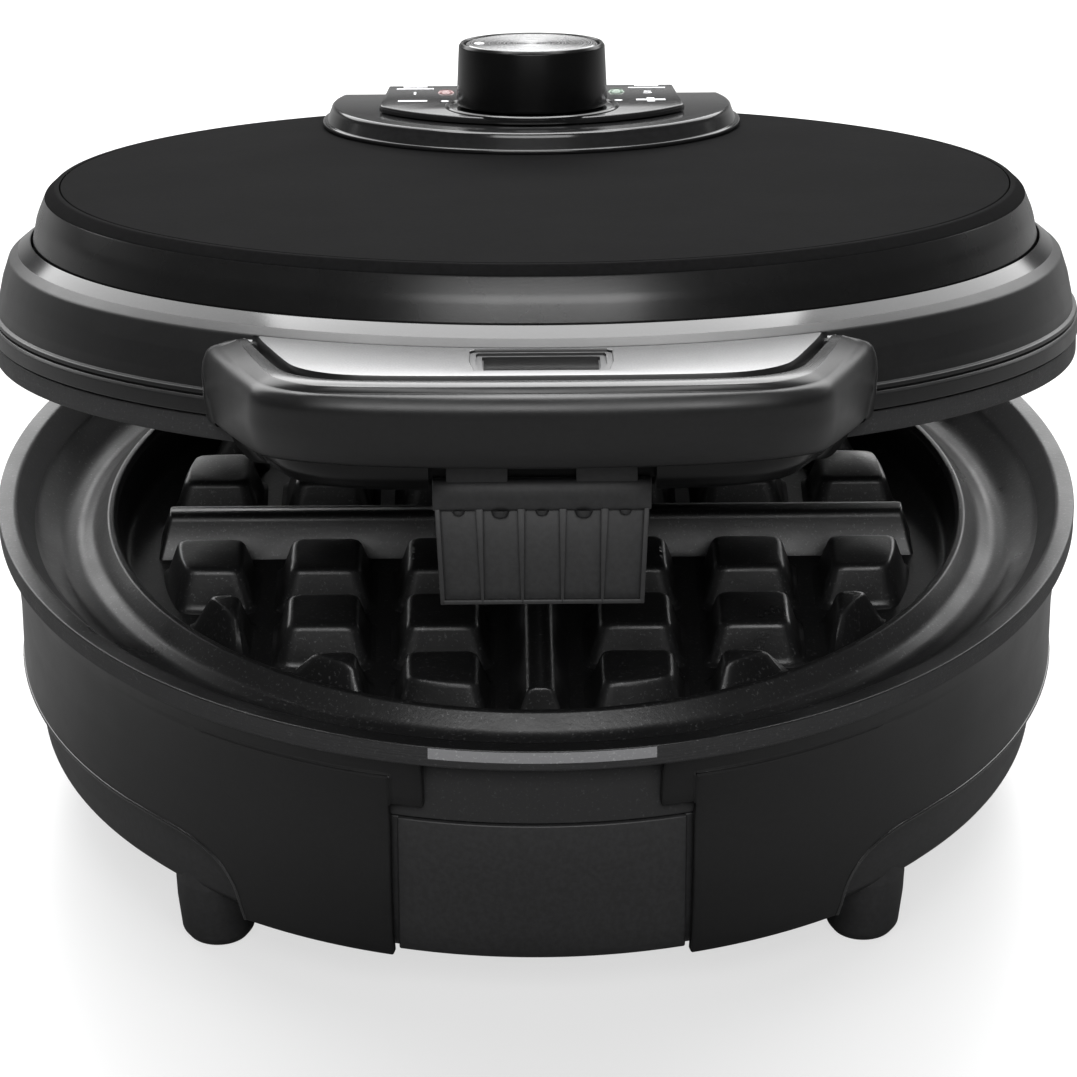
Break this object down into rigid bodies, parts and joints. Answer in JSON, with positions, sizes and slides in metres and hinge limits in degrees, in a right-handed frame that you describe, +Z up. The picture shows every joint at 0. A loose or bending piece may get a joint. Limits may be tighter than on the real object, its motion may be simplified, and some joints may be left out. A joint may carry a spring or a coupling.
{
  "type": "waffle maker",
  "caption": "Round bench-top waffle maker with a moated lower plate, a domed hinged lid, a temperature knob, a bow handle and a sprung latch.",
  "frame": {"origin": "centre of the bounding box on the bench, under the feet", "axes": "+X to the right seen from the front, -Y towards the handle and latch, +Y towards the hinge, +Z up"},
  "size_m": [0.234, 0.2638, 0.1602],
  "materials": {
    "black_plastic": "satin moulded black",
    "gloss_plastic": "glossy moulded black",
    "matte_plastic": "matte moulded black",
    "cast_plate": "cast aluminium with a dark non-stick coating",
    "steel": "brushed",
    "tinned_sheet": "tinned sheet",
    "knob_cap": "spun brushed",
    "rubber": "matt",
    "terminal_plastic": "cream heat-resistant",
    "thermostat_plastic": "brown phenolic",
    "red_lens": "clear red",
    "green_lens": "clear green"
  },
  "bodies": {
    "base": {"base_housing": "black_plastic", "base_drum": "matte_plastic", "base_floor": "matte_plastic", "lower_cooking_plate": "cast_plate", "lower_heating_element": "steel", "lower_heat_reflector": "tinned_sheet", "cord_gland": "rubber", "terminal_block": "terminal_plastic", "thermal_fuse": "steel", "hinge_pin": "steel", "foot_1": "matte_plastic", "foot_pad_1": "rubber", "floor_screw_1": "steel", "foot_2": "matte_plastic", "foot_pad_2": "rubber", "floor_screw_2": "steel", "foot_3": "matte_plastic", "foot_pad_3": "rubber", "floor_screw_3": "steel", "foot_4": "matte_plastic", "foot_pad_4": "rubber", "floor_screw_4": "steel"},
    "lid": {"upper_cooking_plate": "cast_plate", "upper_heating_element": "steel", "upper_heat_reflector": "tinned_sheet", "lid_skirt": "black_plastic", "lid_cover": "black_plastic", "lid_top_panel": "matte_plastic", "control_bezel": "gloss_plastic", "control_fascia": "gloss_plastic", "power_lamp": "red_lens", "ready_lamp": "green_lens", "thermostat_bracket": "tinned_sheet", "thermostat_body": "thermostat_plastic", "handle_body": "black_plastic", "handle_top_insert": "gloss_plastic", "handle_trim": "gloss_plastic", "handle_under_cover": "matte_plastic", "latch_pin": "steel"},
    "knob": {"knob": "gloss_plastic", "knob_cap": "knob_cap", "thermostat_shaft": "steel"},
    "latch": {"latch": "matte_plastic", "latch_spring": "steel"}
  },
  "joints": [
    {"name": "lid_hinge", "type": "hinge", "parent": "base", "child": "lid", "pos_m": [0, 0.12587, 0.068], "axis": [-1, 0, 0], "range_deg": [-14.57, 80.43]},
    {"name": "knob_turn", "type": "hinge", "parent": "lid", "child": "knob", "pos_m": [0, 0.07331, 0.12733], "axis": [0, -0.2516, -0.9678], "range_deg": [0, 200]},
    {"name": "latch_pivot", "type": "hinge", "parent": "lid", "child": "latch", "pos_m": [0, -0.11136, 0.13834], "axis": [-1, 0, 0], "range_deg": [0, 18], "stiffness_Nm_per_rad": 0.15, "springref_deg": -8.59, "deforming": ["latch_spring"]}
  ]
}
